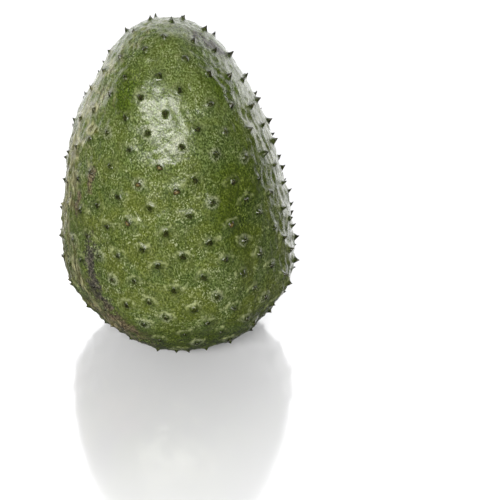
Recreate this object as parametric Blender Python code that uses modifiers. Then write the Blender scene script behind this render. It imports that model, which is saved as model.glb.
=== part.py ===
"""A whole soursop as picked, standing on its broad stem end with the blunt tip up.

The fruit is one grown piece: an egg-shaped body that leans a little, with soft hooked spines set in
a spiral over all of its skin. A short stub of the cut stalk sits in the dimple of the broad end.
Metres, +Z up. The origin is on the surface that the fruit stands on, under the middle of the fruit.
"""

import math
import random

import bmesh
import bpy
from mathutils import Matrix, Vector

# Driving dimensions of the fruit's body.
HEIGHT = 0.1873
WIDEST_RADIUS = 0.0650
WIDEST_LEVEL = 0.0515
FLAT_RADIUS = 0.022
TIP_FULLNESS = 1.52
TIP_BLUNTNESS = 0.470
LEAN_AT_TIP = -0.0021
TIP_NOD = -0.0032
TIP_NOD_POWER = 10
BASE_MIDDLE = (-0.0004, 0.0005)
BODY_RINGS = 26
BODY_SIDES = 40

# The body's uneven swelling: waves round it, share of the radius, phase, and twist up the height.
SWELLINGS = (
    (2, 0.010, 0.70, 2.0),
    (3, 0.007, -0.47, -3.0),
    (5, 0.005, -1.57, 5.0),
)

# Places where the body is flatter, or fuller where the depth is below zero: the turn of the middle,
# the half angle, the level of the middle, the half height, and the depth on the widest ring.
UNEVEN_PLACES = (
    (math.radians(-135), math.radians(26), 0.0153, 0.0320, 0.0050),
    (math.radians(-110), math.radians(20), 0.0060, 0.0200, -0.0040),
    (math.radians(-50), math.radians(27), 0.0080, 0.0220, -0.0040),
    (math.radians(180), math.radians(45), 0.1210, 0.0220, -0.0028),
)

# The dimple at the broad end: radius and level from its mouth to its middle.
DIMPLE_MOUTH_RADIUS = 0.0125
DIMPLE_FLOOR_RADIUS = 0.0085
DIMPLE_FLOOR_LEVEL = 0.0081
DIMPLE_DEPTH = 0.0085

# The stalk stub in the dimple, flared at its root and at its broken end.
STUB_RADIUS = 0.0064
STUB_WAIST_SHARE = 0.90
STUB_END_LEVEL = 0.0012
STUB_EDGE = 0.0005
STUB_HOLLOW = 0.0009
STUB_GAP = 0.0003
STUB_SIDES = 14
STUB_RIDGES = ((3, 0.06, 0.4), (5, 0.04, 0.0))

# The spines. Size and hook are drawn from these ranges, and each hook points roughly to the tip.
# Those near the stem end are smaller, by the share below and up to the full level. None is under
# the smallest size.
SPINE_COUNT = 306
SPINE_SIDES = 5
SPINE_ROOT_DEPTH = 0.0017
SPINE_ROOT_RADIUS = 0.0029
SPINE_WAIST_RADIUS = 0.0011
SPINE_WAIST_HEIGHT = 0.0015
SPINE_HEIGHT = 0.0028
SPINE_HOOK = 0.0012
SPINE_SIZES = (0.78, 1.14)
SPINE_HOOKS = (0.4, 1.3)
SPINE_HOOK_SWING = 0.45
SPINE_LOW_SHARE = 0.36
SPINE_FULL_LEVEL = 0.050
SPINE_SMALLEST = 0.30
SPINE_SEED = 7
SPINE_JITTER = 0.0011
SPINE_FREE_ANGLE = 0.02
SPINE_FREE_OF_FLAT = 0.05
GOLDEN_ANGLE = math.pi * (3 - math.sqrt(5))

# The spines are worn down on one side, and on one patch some are knocked off short.
WORN_TURN = math.radians(-160)
WORN_HALF_ANGLE = math.radians(48)
WORN_LOSS = 0.42
BROKEN_TURN = math.radians(-90)
BROKEN_HALF_ANGLE = math.radians(32)
BROKEN_LEVELS = (0.095, 0.168)
BROKEN_CHANCE = 0.25
BROKEN_SHARE = 0.45

# Spines near the flat spot are pressed down and bent away from the surface below.
FLOOR_CLEARANCE = 0.0006
PRESSED_SHARE = 0.35
PRESSED_BEND = 0.0034

SHARP_ANGLE = math.radians(35)
SKIN_GREEN = (0.115, 0.155, 0.030, 1.0)
SKIN_ROUGHNESS = 0.42
STALK_BROWN = (0.130, 0.070, 0.030, 1.0)
STALK_ROUGHNESS = 0.80


def clear_scene():
    for old in list(bpy.data.objects):
        bpy.data.objects.remove(old, do_unlink=True)


def new_collection(name):
    collection = bpy.data.collections.new(name)
    bpy.context.scene.collection.children.link(collection)
    return collection


def new_object(name, mesh, collection):
    made = bpy.data.objects.new(name, mesh)
    collection.objects.link(made)
    return made


def plain_material(name, colour, roughness):
    material = bpy.data.materials.new(name)
    material.use_nodes = True
    shader = material.node_tree.nodes["Principled BSDF"]
    shader.inputs["Base Color"].default_value = colour
    shader.inputs["Roughness"].default_value = roughness
    shader.inputs["Metallic"].default_value = 0.0
    return material


def lower_half_height():
    """The half height of the lower ellipse, which the flat spot cuts at its radius."""
    cut = math.sqrt(1 - (FLAT_RADIUS / WIDEST_RADIUS) ** 2)
    return WIDEST_LEVEL / cut


def round_radius(level):
    """Radius of the turned body at a level, before it is leaned and swollen."""
    if level >= WIDEST_LEVEL:
        rise = (level - WIDEST_LEVEL) / (HEIGHT - WIDEST_LEVEL)
        return WIDEST_RADIUS * max(0.0, 1 - rise**TIP_FULLNESS) ** TIP_BLUNTNESS
    drop = (WIDEST_LEVEL - level) / lower_half_height()
    return WIDEST_RADIUS * math.sqrt(1 - drop**2)


def level_at(angle):
    """Level of the body at an angle down from the tip, 0 at the tip and pi / 2 at the widest ring."""
    if angle <= math.pi / 2:
        return WIDEST_LEVEL + (HEIGHT - WIDEST_LEVEL) * math.cos(angle)
    return WIDEST_LEVEL + lower_half_height() * math.cos(angle)


def flat_angle():
    """The angle down from the tip at which the body meets the surface that it stands on."""
    return math.acos(-WIDEST_LEVEL / lower_half_height())


def swelling(turn, level):
    """How much wider the body is, as a factor, at this turn round the axis and this level."""
    waves = 0.0
    for count, share, phase, twist in SWELLINGS:
        waves += share * math.cos(count * turn + phase + twist * level / HEIGHT)
    for middle_turn, half_angle, middle_level, half_height, depth in UNEVEN_PLACES:
        from_side = math.remainder(turn - middle_turn, 2 * math.pi) / half_angle
        from_level = (level - middle_level) / half_height
        waves -= depth / WIDEST_RADIUS * math.exp(-(from_side**2) - from_level**2)
    return 1 + waves


def shaped(turn, radius, level):
    """The point of the real, uneven body for a point of the turned one. It stays at its own level."""
    wide = radius * swelling(turn, level)
    rise = level / HEIGHT
    lean = LEAN_AT_TIP * rise + TIP_NOD * rise**TIP_NOD_POWER
    x = BASE_MIDDLE[0] + lean + wide * math.cos(turn)
    y = BASE_MIDDLE[1] + wide * math.sin(turn)
    return Vector((x, y, level))


def skin_point(turn, angle):
    level = level_at(angle)
    return shaped(turn, round_radius(level), level)


def skin_frame(turn, angle):
    """The point of the skin, its outward direction and the direction along the skin to the tip."""
    step = 0.01
    point = skin_point(turn, angle)
    to_tip = (skin_point(turn, angle - step) - skin_point(turn, angle + step)).normalized()
    around = (skin_point(turn + step, angle) - skin_point(turn - step, angle)).normalized()
    outward = around.cross(to_tip).normalized()
    return point, outward, to_tip


def body_profile():
    """Radius and level of the turned body, from the tip down its side and up into the dimple."""
    step = flat_angle() / BODY_RINGS
    profile = [(0.0, HEIGHT)]
    for ring in range(1, BODY_RINGS + 1):
        level = level_at(ring * step)
        profile.append((round_radius(level), max(level, 0.0)))
    profile.append((DIMPLE_MOUTH_RADIUS, 0.0))
    half_way = 0.5 * (DIMPLE_MOUTH_RADIUS + DIMPLE_FLOOR_RADIUS)
    profile.append((half_way, 0.5 * DIMPLE_FLOOR_LEVEL))
    profile.append((DIMPLE_FLOOR_RADIUS, DIMPLE_FLOOR_LEVEL))
    profile.append((0.0, DIMPLE_DEPTH))
    return profile


def turned_mesh(name, profile, sides):
    """The closed mesh of a profile turned about the Z axis by a Screw modifier."""
    outline = bmesh.new()
    corners = [outline.verts.new((radius, 0.0, level)) for radius, level in profile]
    for first, second in zip(corners, corners[1:]):
        outline.edges.new((first, second))
    mesh = bpy.data.meshes.new(name + "_profile")
    outline.to_mesh(mesh)
    outline.free()
    guide = new_object(name + "_profile", mesh, bpy.context.scene.collection)
    screw = guide.modifiers.new("turn", "SCREW")
    screw.axis = "Z"
    screw.steps = sides
    screw.render_steps = sides
    screw.use_merge_vertices = True
    screw.merge_threshold = 0.0001
    depsgraph = bpy.context.evaluated_depsgraph_get()
    turned = bpy.data.meshes.new_from_object(guide.evaluated_get(depsgraph))
    turned.name = name
    bpy.data.objects.remove(guide, do_unlink=True)
    return turned


def body_mesh():
    """The turned egg with its dimple, then leaned and swollen at every vertex."""
    mesh = turned_mesh("soursop_fruit", body_profile(), BODY_SIDES)
    for vertex in mesh.vertices:
        radius = math.hypot(vertex.co.x, vertex.co.y)
        turn = math.atan2(vertex.co.y, vertex.co.x)
        vertex.co = shaped(turn, radius, vertex.co.z)
    return mesh


def angle_for_area_share(share, steps=400):
    """The angle down from the tip above which this share of the skin's area lies."""
    end = flat_angle()
    areas = [0.0]
    for number in range(steps):
        upper = end * number / steps
        lower = end * (number + 1) / steps
        slant = math.hypot(
            round_radius(level_at(upper)) - round_radius(level_at(lower)),
            level_at(upper) - level_at(lower),
        )
        middle = round_radius(level_at((upper + lower) / 2))
        areas.append(areas[-1] + 2 * math.pi * middle * slant)
    wanted = share * areas[-1]
    for number in range(steps):
        if areas[number + 1] >= wanted:
            part = (wanted - areas[number]) / (areas[number + 1] - areas[number])
            return end * (number + part) / steps
    return end


def breakable(turn, angle):
    """Whether a spine here is on the patch of the side where some are knocked off."""
    from_side = abs(math.remainder(turn - BROKEN_TURN, 2 * math.pi))
    return from_side < BROKEN_HALF_ANGLE and BROKEN_LEVELS[0] < level_at(angle) < BROKEN_LEVELS[1]


def spine_places():
    """Turn, angle, size, hook, sideways lean and soundness of each spine, in a spiral."""
    draw = random.Random(SPINE_SEED)
    places = []
    for number in range(SPINE_COUNT):
        angle = angle_for_area_share((number + 0.5) / SPINE_COUNT)
        radius = max(round_radius(level_at(angle)), 2 * SPINE_JITTER)
        turn = number * GOLDEN_ANGLE + draw.uniform(-1, 1) * SPINE_JITTER / radius
        angle += draw.uniform(-1, 1) * SPINE_JITTER / WIDEST_RADIUS
        angle = min(max(angle, SPINE_FREE_ANGLE), flat_angle() - SPINE_FREE_OF_FLAT)
        grown = min(level_at(angle) / SPINE_FULL_LEVEL, 1.0)
        size = draw.uniform(*SPINE_SIZES) * (SPINE_LOW_SHARE + (1 - SPINE_LOW_SHARE) * grown)
        from_worn = math.remainder(turn - WORN_TURN, 2 * math.pi) / WORN_HALF_ANGLE
        size = max(size * (1 - WORN_LOSS * math.exp(-(from_worn**2))), SPINE_SMALLEST)
        hook = draw.uniform(*SPINE_HOOKS)
        sideways = draw.gauss(0.0, SPINE_HOOK_SWING)
        broken = draw.random() < BROKEN_CHANCE and breakable(turn, angle)
        places.append((turn, angle, size, hook, sideways, broken))
    return places


def spine_points(place):
    """Root frame, waist height and tip of a spine, or None for one with no room over the floor."""
    turn, angle, size, hook, sideways, broken = place
    point, outward, to_tip = skin_frame(turn, angle)
    across = to_tip.cross(outward)
    bend = to_tip * math.cos(sideways) + across * math.sin(sideways)
    height = SPINE_HEIGHT * size
    waist = SPINE_WAIST_HEIGHT * size
    tip = point + outward * height + bend * SPINE_HOOK * hook
    if broken:
        waist *= BROKEN_SHARE
        tip = point + outward * height * BROKEN_SHARE
    if tip.z < FLOOR_CLEARANCE:
        waist *= PRESSED_SHARE
        tip = point + outward * height * PRESSED_SHARE + to_tip * PRESSED_BEND * size
    if tip.z < FLOOR_CLEARANCE:
        return None
    return (point, across, to_tip, outward), waist, tip


def spine_mesh(name, place):
    """One hooked spine: a five-sided frustum rooted under the skin, drawn out to its tip."""
    found = spine_points(place)
    if not found:
        return None
    (point, across, to_tip, outward), waist, tip = found
    shape = bmesh.new()
    bmesh.ops.create_cone(
        shape,
        cap_ends=True,
        segments=SPINE_SIDES,
        radius1=SPINE_ROOT_RADIUS,
        radius2=SPINE_WAIST_RADIUS * place[2],
        depth=SPINE_ROOT_DEPTH + waist,
    )
    top = max(shape.faces, key=lambda face: face.calc_center_median().z)
    end = bmesh.ops.poke(shape, faces=[top])["verts"][0]
    frame = Matrix((across, to_tip, outward)).transposed().to_4x4()
    middle = point + outward * 0.5 * (waist - SPINE_ROOT_DEPTH)
    bmesh.ops.transform(shape, matrix=Matrix.Translation(middle) @ frame, verts=shape.verts)
    end.co = tip
    mesh = bpy.data.meshes.new(name)
    shape.to_mesh(mesh)
    shape.free()
    return mesh


def build_fruit(collection, material):
    """The body with every spine joined to it by one Boolean union."""
    fruit = new_object("soursop_fruit", body_mesh(), collection)
    spines = new_collection("spines")
    for number, place in enumerate(spine_places()):
        mesh = spine_mesh(f"spine_{number:03d}", place)
        if mesh:
            new_object(mesh.name, mesh, spines)
    union = fruit.modifiers.new("spines", "BOOLEAN")
    union.operation = "UNION"
    union.operand_type = "COLLECTION"
    union.collection = spines
    union.solver = "EXACT"
    depsgraph = bpy.context.evaluated_depsgraph_get()
    joined = bpy.data.meshes.new_from_object(fruit.evaluated_get(depsgraph))
    fruit.modifiers.clear()
    fruit.data = joined
    for spine in list(spines.objects):
        bpy.data.objects.remove(spine, do_unlink=True)
    bpy.data.collections.remove(spines)
    joined.materials.clear()
    joined.materials.append(material)
    joined.shade_smooth()
    joined.set_sharp_from_angle(angle=SHARP_ANGLE)
    return fruit


def build_stub(collection, material):
    """The stalk stub: a short ridged plug, just under the dimple's floor and clear of the surface."""
    root_level = DIMPLE_FLOOR_LEVEL - STUB_GAP
    waist = STUB_RADIUS * STUB_WAIST_SHARE
    waist_level = 0.5 * (root_level + STUB_END_LEVEL)
    profile = [
        (0.0, root_level),
        (STUB_RADIUS - STUB_EDGE, root_level),
        (STUB_RADIUS, root_level - STUB_EDGE),
        (waist, waist_level),
        (STUB_RADIUS - STUB_EDGE, STUB_END_LEVEL + 2 * STUB_EDGE),
        (waist - STUB_EDGE, STUB_END_LEVEL),
        (0.0, STUB_END_LEVEL + STUB_HOLLOW),
    ]
    mesh = turned_mesh("stalk_stub", profile, STUB_SIDES)
    for vertex in mesh.vertices:
        turn = math.atan2(vertex.co.y, vertex.co.x)
        ridges = 1.0
        for count, share, phase in STUB_RIDGES:
            ridges += share * math.sin(count * turn + phase)
        vertex.co.x = BASE_MIDDLE[0] + vertex.co.x * ridges
        vertex.co.y = BASE_MIDDLE[1] + vertex.co.y * ridges
    mesh.materials.clear()
    mesh.materials.append(material)
    mesh.shade_smooth()
    mesh.set_sharp_from_angle(angle=SHARP_ANGLE)
    return new_object("stalk_stub", mesh, collection)


def main():
    clear_scene()
    soursop = new_collection("soursop")
    build_fruit(soursop, plain_material("soursop_skin", SKIN_GREEN, SKIN_ROUGHNESS))
    build_stub(soursop, plain_material("woody_stalk", STALK_BROWN, STALK_ROUGHNESS))


main()
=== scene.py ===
# A whole soursop standing on a pale glossy table: a leathery olive rind set with soft hooked
# spines, and the dry stub of its stalk tucked into the dimple underneath.
import math
import random

import bmesh
import bpy
import numpy as np
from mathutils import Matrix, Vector
from mathutils.geometry import delaunay_2d_cdt
from mathutils.kdtree import KDTree


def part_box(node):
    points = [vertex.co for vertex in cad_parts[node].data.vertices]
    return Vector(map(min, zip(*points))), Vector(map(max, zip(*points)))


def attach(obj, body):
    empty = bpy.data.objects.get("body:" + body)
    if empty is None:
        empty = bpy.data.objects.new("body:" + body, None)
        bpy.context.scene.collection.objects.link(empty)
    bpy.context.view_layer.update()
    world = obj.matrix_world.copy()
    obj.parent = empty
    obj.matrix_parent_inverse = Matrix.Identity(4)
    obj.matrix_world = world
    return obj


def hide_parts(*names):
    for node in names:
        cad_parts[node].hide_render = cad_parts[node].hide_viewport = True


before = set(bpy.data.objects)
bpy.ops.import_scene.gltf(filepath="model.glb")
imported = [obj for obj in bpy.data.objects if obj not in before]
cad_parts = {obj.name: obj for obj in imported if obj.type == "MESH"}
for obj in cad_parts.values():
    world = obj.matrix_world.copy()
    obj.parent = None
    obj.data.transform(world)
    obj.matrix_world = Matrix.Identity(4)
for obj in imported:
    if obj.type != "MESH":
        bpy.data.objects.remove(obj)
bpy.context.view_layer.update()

MM = 0.001

# The egg that the rind covers: the same driving sizes as the solid in the frame.
HEIGHT = 187.3 * MM
WIDEST_RADIUS = 65.0 * MM
WIDEST_LEVEL = 51.5 * MM
FLAT_RADIUS = 22.0 * MM
TIP_FULLNESS = 1.52
TIP_BLUNTNESS = 0.470
LEAN_AT_TIP = -2.1 * MM
TIP_NOD = -3.2 * MM
TIP_NOD_POWER = 10
BASE_MIDDLE = np.array((-0.4, 0.5, 0.0)) * MM

# The egg's uneven swelling: waves round it, share of the radius, phase, and twist up the height.
SWELLINGS = ((2, 0.010, 0.70, 2.0), (3, 0.007, -0.47, -3.0), (5, 0.005, -1.57, 5.0))

# Places where the egg is flatter, or fuller where the depth is below zero: the turn of the middle,
# the half angle, the level of the middle, the half height, and the depth on the widest ring.
UNEVEN_PLACES = (
    (math.radians(-135), math.radians(26), 15.3 * MM, 32.0 * MM, 5.0 * MM),
    (math.radians(-110), math.radians(20), 6.0 * MM, 20.0 * MM, -4.0 * MM),
    (math.radians(-50), math.radians(27), 8.0 * MM, 22.0 * MM, -4.0 * MM),
    (math.radians(180), math.radians(45), 121.0 * MM, 22.0 * MM, -2.8 * MM),
)

# The dimple underneath: radius and level of its mouth, of its floor's edge and of its middle.
DIMPLE = ((12.5 * MM, 0.0), (8.5 * MM, 8.1 * MM), (0.0, 8.5 * MM))

# How finely the egg's profile is walked along, how far its corners are rounded, the least radius
# that the map can hold, and the steps to each side that a slope is taken over.
PROFILE_POINTS = 3000
DIMPLE_POINTS = 60
PROFILE_STEP = 0.1 * MM
PROFILE_ROUNDING = 0.8 * MM
AXIS_RADIUS = 0.02 * MM
SLOPE_RUN = 0.3 * MM
SLOPE_TURN = 0.004

# The spines stand where the solid's do: the same spiral and the same seeded draw. They are smaller
# towards the stem end and keep clear of the flat spot.
SPINE_COUNT = 306
SPINE_BANDS = 400
SPINE_HEIGHT = 2.8 * MM
SPINE_HOOK = 1.2 * MM
SPINE_SIZES = (0.78, 1.14)
SPINE_HOOKS = (0.4, 1.3)
SPINE_HOOK_SWING = 0.45
SPINE_LOW_SHARE = 0.36
SPINE_FULL_LEVEL = 50.0 * MM
SPINE_SMALLEST = 0.30
SPINE_SEED = 7
SPINE_JITTER = 1.1 * MM
SPINE_FREE_ANGLE = 0.02
SPINE_FREE_OF_FLAT = 0.05
SPINE_FRAME_STEP = 0.01
GOLDEN_ANGLE = math.pi * (3 - math.sqrt(5))

# Spines whose tips would come lower than this are pressed against the body, and left out if they
# still would. Those on one side are worn down, and on a patch of the front some are snapped off.
FLOOR_CLEARANCE = 0.6 * MM
PRESSED_SHARE = 0.35
PRESSED_BEND = 3.4 * MM
WORN_TURN = math.radians(-160)
WORN_HALF_ANGLE = math.radians(48)
WORN_LOSS = 0.42
BROKEN_TURN = math.radians(-90)
BROKEN_HALF_ANGLE = math.radians(32)
BROKEN_LEVELS = (95.0 * MM, 168.0 * MM)
BROKEN_CHANCE = 0.25

# How finely the rind is drawn. Rings of points climb each spine, from its foot to its tip at 1, and a
# skirt lies round them. A spiral of points fills the rest, and ends at a ring in the dimple's middle.
SPINE_FOOT = 2.1 * MM
SPINE_SKIRT = 2.9 * MM
SPINE_CLEAR = 3.5 * MM
SPINE_SIDES = 12
SPINE_CLIMB = (0.0, 0.14, 0.28, 0.43, 0.58, 0.72, 0.85, 0.95)
RING_TAPER = 0.88
RIND_POINTS = 66000
POLE_RADIUS = 1.4 * MM
POLE_CLEAR = 0.6 * POLE_RADIUS
POLE_SIDES = 24
SAME_SPOT = 1e-9

# A whole spine's width is a flared cone and a dome added up, with a limit that keeps the rings inside
# the foot. Small spines are thinner, and all are a little oval and lobed. The powers say how a
# spine's height and its hook gather as the skin climbs it.
CONE_SHARE = 0.70
CONE_POWER = 1.7
DOME_SHARE = 0.30
WIDTH_BY_SIZE = 0.45
WIDTH_LIMIT = 0.96
WIDTH_LIMIT_TAPER = 0.3
SPINE_OVAL = 0.20
SPINE_LOBE = 0.14
LOBE_START = 0.15
HEIGHT_POWER = 1.35
HOOK_POWER = 2.3

# A snapped spine: the climb at which its broken edge lies, how it tapers to there, how high and
# how far over it is, and the hollow in its broken face.
SNAP_CLIMB = 0.6
SNAP_TAPER = 0.85
SNAP_HEIGHT = 0.42
SNAP_POWER = 1.3
SNAP_HOOK = 0.25
HOLLOW_CLIMB = 0.8
HOLLOW_DEPTH = 0.05

# How the mounds and colours differ from spine to spine: the range of each draw, and the share of
# the spines that have a pale ring.
MOUND_HEIGHTS = (0.50 * MM, 0.92 * MM)
MOUND_WIDTHS = (0.85, 1.12)
HORN_SHARES = (0.55, 1.0)
RINGED_SHARE = 0.25

# The rind's relief, on a skin that lies a little under the solid's surface and stays off the floor.
# Each spine stands near the upper edge of its own tongue-shaped mound, which falls away steeply above
# it and slowly below. The mounds are lower towards the tip, and a shallow seam parts neighbours.
SETTLE = 1.38 * MM
FLOOR_GAP = 0.05 * MM
MOUND_ABOVE = 3.4 * MM
MOUND_ASIDE = 4.4 * MM
MOUND_BELOW = 8.5 * MM
MOUND_EDGES = (1.8, 6.2)
MOUND_TIP_SHARE = 0.45
MOUND_LEVELS = (60.0 * MM, 120.0 * MM)
MOUND_RAGGED_LENGTH = 5.0 * MM
MOUND_RAGGED_SHARE = 0.16
MOUNDS_THAT_MEET = 3
# The painted highlight along a mound's upper edge: where it lies in the mound's reach, its width, and
# how far round it spreads.
ARCH_REACH = 0.92
ARCH_WIDTH = 0.13
ARCH_SPREAD = 0.6
NEAREST_DISTANCE = 0.1 * MM
SEAM_DEPTH = 0.14 * MM
SEAM_WIDTH = 1.5 * MM

# Waves in the rind, by length and depth: soft ones that run every way, and ridges that stay upright
# and fade on the smooth front. The relief dies away to nothing at the flat spot.
WAVES = ((34.0 * MM, 0.45 * MM), (13.0 * MM, 0.11 * MM), (6.0 * MM, 0.04 * MM), (3.4 * MM, 0.03 * MM))
RIDGES = ((5.2 * MM, 0.13 * MM), (3.0 * MM, 0.09 * MM))
RIDGE_RISE = 0.18
WAVE_COUNT = 24
WAVE_SPREAD = (0.75, 1.3)
SMOOTH_TURN = math.radians(-88)
SMOOTH_HALF_ANGLE = math.radians(52)
SMOOTH_SHARE = 0.8
RELIEF_SEED = 21
CALM_LEVEL = 7.0 * MM

# Marks round a spine's foot: how far the painted shade round it reaches, and where its pale ring lies.
FOOT_SHADE_RADIUS = 3.2 * MM
RING_RADIUS = 2.7 * MM
RING_WIDTH = 0.7 * MM

# Patches of the rind: turn and level of the middle, half width round the fruit, half height, and
# slant. The turn is in degrees, the slant a share of the rise, and the rest in millimetres. First the
# dry and streaky sides, the last of which is a pale patch low on the left that paints a reflection of
# the table, then the places of a deeper green, some of them painted shade, then the scuffs. Last,
# how fast they fade.
DRY_SIDES_AND_REFLECTION = (
    (-165.0, 98.0, 16.0, 85.0, 0.0),
    (-131.0, 29.0, 15.0, 12.0, -1.2),
    # A pale patch that paints a reflection of the table, low on the left.
    (-148.0, 52.0, 7.0, 24.0, 0.0),
)
DEEP_GREENS_AND_SHADE = (
    # Painted shade on the right of the front.
    (-52.0, 108.0, 20.0, 34.0, 0.12),
    (-38.0, 163.0, 9.0, 12.0, 0.0),
    (-131.0, 160.0, 9.0, 13.0, 0.0),
    # Painted shade low round the front, by the table.
    (-85.0, 9.0, 80.0, 31.0, 0.0),
    (60.0, 60.0, 26.0, 40.0, -0.10),
    (178.0, 20.0, 60.0, 22.0, 0.0),
)
SCUFFS = (
    (-136.5, 69.0, 4.6, 14.0, 0.0),
    (-134.5, 56.0, 7.2, 9.0, -0.1),
    (-129.5, 46.5, 9.5, 7.5, -0.6),
    (-119.0, 34.0, 11.0, 10.0, -1.3),
    (-141.0, 114.5, 3.8, 7.0, 0.0),
    (-149.0, 98.0, 3.6, 9.0, 0.05),
    (-3.0, 174.0, 5.5, 10.0, -0.40),
    (20.0, 72.0, 7.0, 18.0, -0.15),
    (96.0, 44.0, 12.0, 8.0, 0.25),
    (128.0, 120.0, 4.5, 15.0, 0.10),
)
PATCH_FADE = 0.7

# The marks that the rind's points carry for its colours and its finest relief.
RIND_MARKS = ("climb", "painted_foot_shade", "painted_arch_highlight", "broken", "dark", "ring", "scuff", "dry_and_reflection", "deep", "ridged")

# The rind's patterns: the size of a feature round the fruit in millimetres, how fast the pattern
# changes up the fruit against round it, a shift that keeps it apart from the others, then detail,
# roughness and distortion. The grain's pale specks come out about 1 mm apart.
RIND_PATTERNS = (
    ("cloud", 17.0, 1.0, 0.0, 3.0, 0.60, 0.5),
    ("speckled", 10.0, 1.0, 0.31, 3.0, 0.55, 0.5),
    ("grain", 0.78, 0.72, 0.0, 2.0, 0.60, 0.2),
    ("weave", 2.7, 1.0, 0.57, 2.0, 0.60, 0.4),
    ("fibre", 1.9, 0.13, 0.0, 3.0, 0.65, 0.3),
    ("creased", 9.0, 1.0, 0.73, 2.0, 0.50, 0.0),
    ("dry_edge", 7.0, 1.0, 0.49, 3.0, 0.60, 0.3),
    ("scuff_edge", 4.5, 1.0, 0.91, 4.0, 0.65, 0.4),
    ("wax", 6.0, 1.0, 0.35, 3.0, 0.60, 0.0),
)

# Levels over the table between which the rind's colours change: paler green above the shoulder, a
# painted highlight on the mounds' arches that is fainter above and almost none near the floor, painted
# shade that darkens the green underneath, and browner dry places low down, with browner scuffs in one
# band higher up.
SHOULDER = (105 * MM, 160 * MM)
ARCH_HIGHLIGHT_FADE = (75 * MM, 125 * MM)
ARCH_HIGHLIGHT_START = (8 * MM, 32 * MM)
UNDERSIDE_SHADE = (12 * MM, 50 * MM)
BROWN_BELOW = (36 * MM, 52 * MM)
BROWN_BAND_START = (82 * MM, 92 * MM)
BROWN_BAND_END = (135 * MM, 150 * MM)

# How deep the rind's fibres, its weave and its grain are.
FIBRE_DEPTH = 0.45 * MM
WEAVE_DEPTH = 0.10 * MM
GRAIN_DEPTH = 0.14 * MM

# The stalk stub, which fills the solid stub's place: bark down its side for most of its profile, then
# the torn, hollowed end. Its ridges, as shares of its radius, and the end's splinters are given by
# how many there are round it and by their depth.
STALK_FILL = 0.47
STALK_SIDES = 72
STALK_RINGS = 26
STALK_SEED = 5
STALK_BARK_SHARE = 0.72
STALK_RIDGES = ((9, 0.045), (17, 0.030), (4, 0.020))
STALK_WAIST = 0.09
STALK_CLOSES = 0.97
STALK_SPLINTERS = (11, 0.25 * MM)
STALK_HOLLOW = 0.8 * MM
STALK_HOLLOW_POWER = 0.6
STALK_TORN_FADE = 0.08
STALK_SHARP_EDGE = math.radians(50)
BARK_FIBRE = 0.9 * MM
BARK_FIBRE_DEPTH = 0.25 * MM

# Where the camera stands, how wide its view is at the fruit, and how far right of the fruit's foot
# and above it the view's middle lies, in metres.
CAMERA_ELEVATION = math.radians(33.2)
CAMERA_DISTANCE = 0.90
VIEW_WIDTH = 0.285
VIEW_MIDDLE = (0.0393, 0.0398)
SENSOR = 36.0
NEAR_LIMIT = 0.05
FAR_LIMIT = 20.0

# The studio: a dim room, a bright white backdrop behind the fruit, and four soft boxes. A lamp
# stands this far round from the front and this high, in degrees, this many metres off, and is this
# wide, tall and bright. The backdrop's edge is a pair of cosines: its glow starts at the first and is
# full at the second.
TABLE_REACH = 3.0
TABLE_GLOSS = 0.26
TABLE_ROUGHNESS = 0.12
ROOM_GLOW = 0.10
BACKDROP_GLOW = 2.20
BACKDROP_TURN_AND_RISE = (172.0, 4.0)
BACKDROP_EDGE = (0.62, 0.75)
LAMP_COLOUR = "#fffdf8"
LAMP_AIM = Vector((0.0, 0.0, 0.09))
LAMPS = (
    ("front_box", -10.0, 29.0, 0.95, (0.90, 0.20), 25.0),
    ("right_back_box", 130.0, 6.0, 1.00, (0.32, 0.62), 3.0),
    ("left_side_box", -126.0, 8.0, 1.00, (0.40, 0.75), 2.9),
    ("top_back_box", 172.0, 56.0, 1.00, (0.60, 0.32), 3.0),
)

# Settings that several nodes share.
PLUS = {"operation": "ADD"}
TIMES = {"operation": "MULTIPLY"}
SMOOTH = {"interpolation_type": "SMOOTHSTEP"}
COLOUR = {"data_type": "RGBA"}
TINT = {"data_type": "RGBA", "blend_type": "MULTIPLY"}


def lower_half_height():
    """The half height of the lower half's ellipse, which the flat spot cuts at its radius."""
    return WIDEST_LEVEL / math.sqrt(1 - (FLAT_RADIUS / WIDEST_RADIUS) ** 2)


def flat_angle():
    """The angle down from the tip at which the flat spot begins."""
    return math.acos(-WIDEST_LEVEL / lower_half_height())


def egg_level(angle):
    """Level at an angle down from the tip: 0 at the tip, a quarter turn at the widest ring."""
    angle = np.asarray(angle, float)
    upper = WIDEST_LEVEL + (HEIGHT - WIDEST_LEVEL) * np.cos(angle)
    lower = WIDEST_LEVEL + lower_half_height() * np.cos(angle)
    return np.where(angle <= math.pi / 2, upper, lower)


def egg_radius(level):
    rise = np.clip((level - WIDEST_LEVEL) / (HEIGHT - WIDEST_LEVEL), 0.0, 1.0)
    upper = WIDEST_RADIUS * (1 - rise**TIP_FULLNESS) ** TIP_BLUNTNESS
    drop = np.clip((WIDEST_LEVEL - level) / lower_half_height(), 0.0, 1.0)
    lower = WIDEST_RADIUS * np.sqrt(1 - drop**2)
    return np.where(level >= WIDEST_LEVEL, upper, lower)


def turned_from(turn, middle):
    """How far turns lie from a middle one, from minus half a turn to half a turn."""
    return np.remainder(turn - middle + math.pi, 2 * math.pi) - math.pi


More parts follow.
